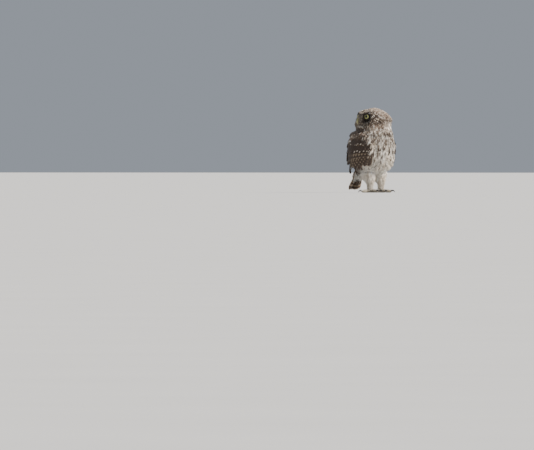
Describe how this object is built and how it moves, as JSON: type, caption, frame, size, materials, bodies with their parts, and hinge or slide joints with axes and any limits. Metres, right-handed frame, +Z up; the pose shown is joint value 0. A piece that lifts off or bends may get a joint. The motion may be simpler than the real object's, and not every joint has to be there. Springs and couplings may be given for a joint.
{
  "type": "little owl",
  "caption": "Life-size model of a little owl standing upright on both feet, its head turned back over its right shoulder, wings folded.",
  "frame": {"origin": "on the floor under the middle of the bird's outline", "axes": "+Z up from the floor to the crown; the breast faces -Y, so the bird's left side is at +X"},
  "size_m": [0.0978, 0.1032, 0.1696],
  "materials": {
    "plumage": "soft matte body feathers, brown with pale spots above, whitish with dark streaks below",
    "pale_plumage": "short soft whitish feathers of the legs and vent",
    "flight_feathers": "smooth close-barbed feathers, dark brown with pale bars and spots",
    "bill_horn": "satin greenish-yellow horn",
    "claw_horn": "polished dark horn",
    "toe_skin": "dry scaly greyish skin under pale bristles",
    "eye": "wet clear cornea over a pale yellow iris with a black pupil"
  },
  "bodies": {
    "root": {"torso": "plumage", "neck": "plumage", "head": "plumage", "beak_upper": "bill_horn", "beak_lower": "bill_horn", "eye_left": "eye", "eye_right": "eye", "wing_left": "flight_feathers", "wing_right": "flight_feathers", "tail": "flight_feathers", "leg_left": "pale_plumage", "leg_right": "pale_plumage", "foot_left": "toe_skin", "foot_right": "toe_skin", "claw_left_1": "claw_horn", "claw_left_2": "claw_horn", "claw_left_3": "claw_horn", "claw_left_4": "claw_horn", "claw_right_1": "claw_horn", "claw_right_2": "claw_horn", "claw_right_3": "claw_horn", "claw_right_4": "claw_horn"}
  },
  "joints": []
}
